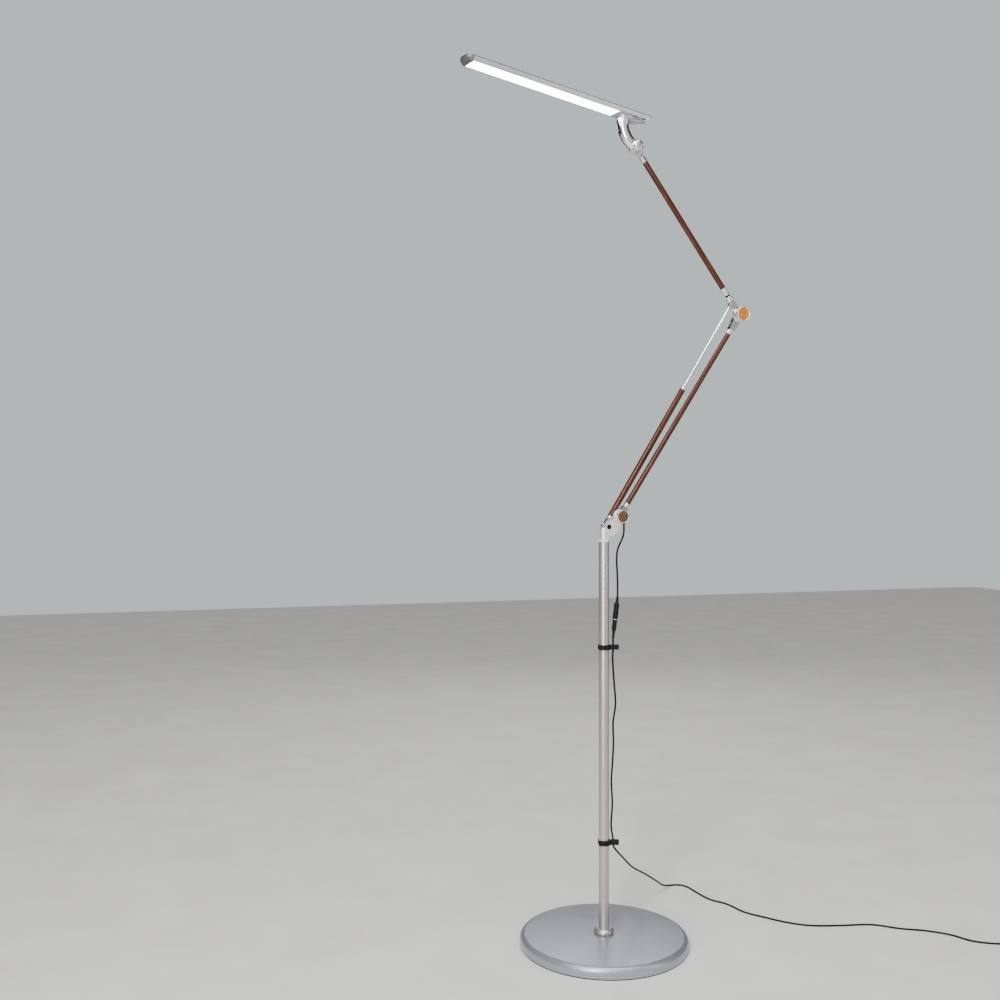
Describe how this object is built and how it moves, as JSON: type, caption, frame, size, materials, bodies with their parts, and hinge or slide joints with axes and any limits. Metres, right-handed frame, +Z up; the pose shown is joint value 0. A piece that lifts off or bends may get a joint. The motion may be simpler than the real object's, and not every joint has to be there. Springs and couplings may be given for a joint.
{
  "type": "adjustable arm floor lamp",
  "caption": "Floor lamp with a round weighted base, a pole, two jointed arms with a telescopic strut, and a slim bar light head that tilts and swivels.",
  "frame": {"origin": "centre of the base's underside, on the floor", "axes": "+Z up along the pole; the arms move in the XZ plane, with the elbow towards +X and the light head towards -X; the friction knobs are on the -Y side"},
  "size_m": [1.0135, 0.5562, 1.4216],
  "materials": {
    "base_paint": "satin",
    "weight_iron": "matte",
    "pad_rubber": "matte",
    "pole_paint": "satin",
    "chrome": "polished",
    "satin_casting": "satin",
    "steel": "satin",
    "bush_nylon": "satin",
    "brown_finish": "gloss",
    "bronze_face": "satin",
    "copper_face": "satin",
    "black_plastic": "satin",
    "lead_rubber": "satin",
    "head_silver": "satin",
    "head_dark": "satin",
    "diffuser_white": "matte",
    "led_board_white": "satin"
  },
  "bodies": {
    "stand": {"base_cover": "base_paint", "base_weight": "weight_iron", "base_pad": "pad_rubber", "pole_stud": "steel", "pole_nut": "steel", "pole_washer": "steel", "pole_collar": "chrome", "pole_tube": "pole_paint", "pole_top_bush": "bush_nylon", "upper_cable_clip": "black_plastic", "lower_cable_clip": "black_plastic", "upper_lead": "lead_rubber", "lead_socket": "black_plastic", "lead_plug": "black_plastic", "lower_lead": "lead_rubber", "lead_coil": "lead_rubber", "power_adapter": "black_plastic", "adapter_pins": "steel"},
    "bracket": {"bracket_casting": "satin_casting", "bracket_spigot": "steel", "strut_foot_screw": "steel", "lead_gland": "black_plastic"},
    "lower_arm": {"lower_arm_tube": "brown_finish", "lower_arm_bottom_fork": "chrome", "lower_arm_top_fork": "chrome", "lower_pivot_bolt": "steel", "lower_pivot_washers": "bush_nylon", "elbow_bolt": "steel", "elbow_washers": "bush_nylon", "lower_arm_lead": "lead_rubber"},
    "lower_knob_body": {"lower_knob": "chrome", "lower_knob_inlay": "bronze_face"},
    "elbow_knob_body": {"elbow_knob": "chrome", "elbow_knob_inlay": "copper_face"},
    "upper_arm": {"elbow_casting": "chrome", "upper_arm_ferrule": "chrome", "upper_arm_tube": "brown_finish", "upper_arm_tongue": "chrome", "upper_arm_lead": "lead_rubber"},
    "strut_rod_body": {"strut_rod": "chrome", "strut_pin": "steel"},
    "strut_ring_body": {"strut_guide_ring": "steel"},
    "strut_tube_body": {"strut_tube": "brown_finish", "strut_cap": "chrome", "strut_foot": "chrome", "strut_spring": "steel"},
    "neck": {"neck_casting": "chrome", "neck_bolt": "steel", "neck_collar": "chrome"},
    "neck_knob_body": {"neck_knob": "chrome"},
    "head": {"head_frame": "head_silver", "head_top_cover": "head_dark", "head_tip_cap": "head_dark", "head_diffuser": "diffuser_white", "led_board": "led_board_white", "head_belly": "head_silver", "swivel_stem": "steel"},
    "power_key_body": {"power_key": "head_dark"},
    "brightness_key_body": {"brightness_key": "head_dark"}
  },
  "joints": [
    {"name": "pole_swivel", "type": "hinge", "parent": "stand", "child": "bracket", "pos_m": [0, 0, 0.6745], "axis": [0, 0, 1], "range_deg": [-60, 60]},
    {"name": "lower_arm_tilt", "type": "hinge", "parent": "bracket", "child": "lower_arm", "pos_m": [0.0289, 0, 0.7135], "axis": [0, 1, 0], "range_deg": [-30, 25]},
    {"name": "lower_knob_turn", "type": "hinge", "parent": "lower_arm", "child": "lower_knob_body", "pos_m": [0.0289, -0.0112, 0.7135], "axis": [0, 1, 0], "range_deg": [-180, 90]},
    {"name": "elbow_tilt", "type": "hinge", "parent": "lower_arm", "child": "upper_arm", "pos_m": [0.25558, 0, 1.06255], "axis": [0, 1, 0], "range_deg": [-30, 30]},
    {"name": "elbow_knob_turn", "type": "hinge", "parent": "lower_arm", "child": "elbow_knob_body", "pos_m": [0.25558, -0.0112, 1.06255], "axis": [0, 1, 0], "range_deg": [-180, 90]},
    {"name": "strut_foot_turn", "type": "hinge", "parent": "bracket", "child": "strut_tube_body", "pos_m": [0.0064, 0.0115, 0.6963], "axis": [0, 1, 0], "range_deg": [-28.8, 24]},
    {"name": "strut_ring_slide", "type": "slide", "parent": "strut_tube_body", "child": "strut_ring_body", "axis": [0.5267, 0, 0.8501], "range_m": [-0.0064, 0.0054]},
    {"name": "strut_rod_slide", "type": "slide", "parent": "strut_ring_body", "child": "strut_rod_body", "axis": [0.5267, 0, 0.8501], "range_m": [-0.0099, 0.0099]},
    {"name": "neck_tilt", "type": "hinge", "parent": "upper_arm", "child": "neck", "pos_m": [0.05773, 0, 1.33487], "axis": [0, 1, 0], "range_deg": [-40, 40]},
    {"name": "neck_knob_turn", "type": "hinge", "parent": "neck", "child": "neck_knob_body", "pos_m": [0.05773, -0.012, 1.33487], "axis": [0, 1, 0], "range_deg": [-180, 90]},
    {"name": "head_swivel", "type": "hinge", "parent": "neck", "child": "head", "pos_m": [0.03543, 0, 1.37837], "axis": [0.0958, 0, 0.9954], "range_deg": [-90, 90]},
    {"name": "power_key_press", "type": "slide", "parent": "head", "child": "power_key_body", "axis": [0.0958, 0, 0.9954], "range_m": [0, 0.0005], "stiffness_N_per_m": 400},
    {"name": "brightness_key_press", "type": "slide", "parent": "head", "child": "brightness_key_body", "axis": [0.0958, 0, 0.9954], "range_m": [0, 0.0005], "stiffness_N_per_m": 400}
  ],
  "couplings": [
    {"joint": "strut_foot_turn", "follows": "lower_arm_tilt", "ratio": 0.943},
    {"joint": "strut_ring_slide", "follows": "lower_arm_tilt", "m_per_rad": 0.0116},
    {"joint": "strut_rod_slide", "follows": "elbow_tilt", "m_per_rad": 0.0184}
  ]
}
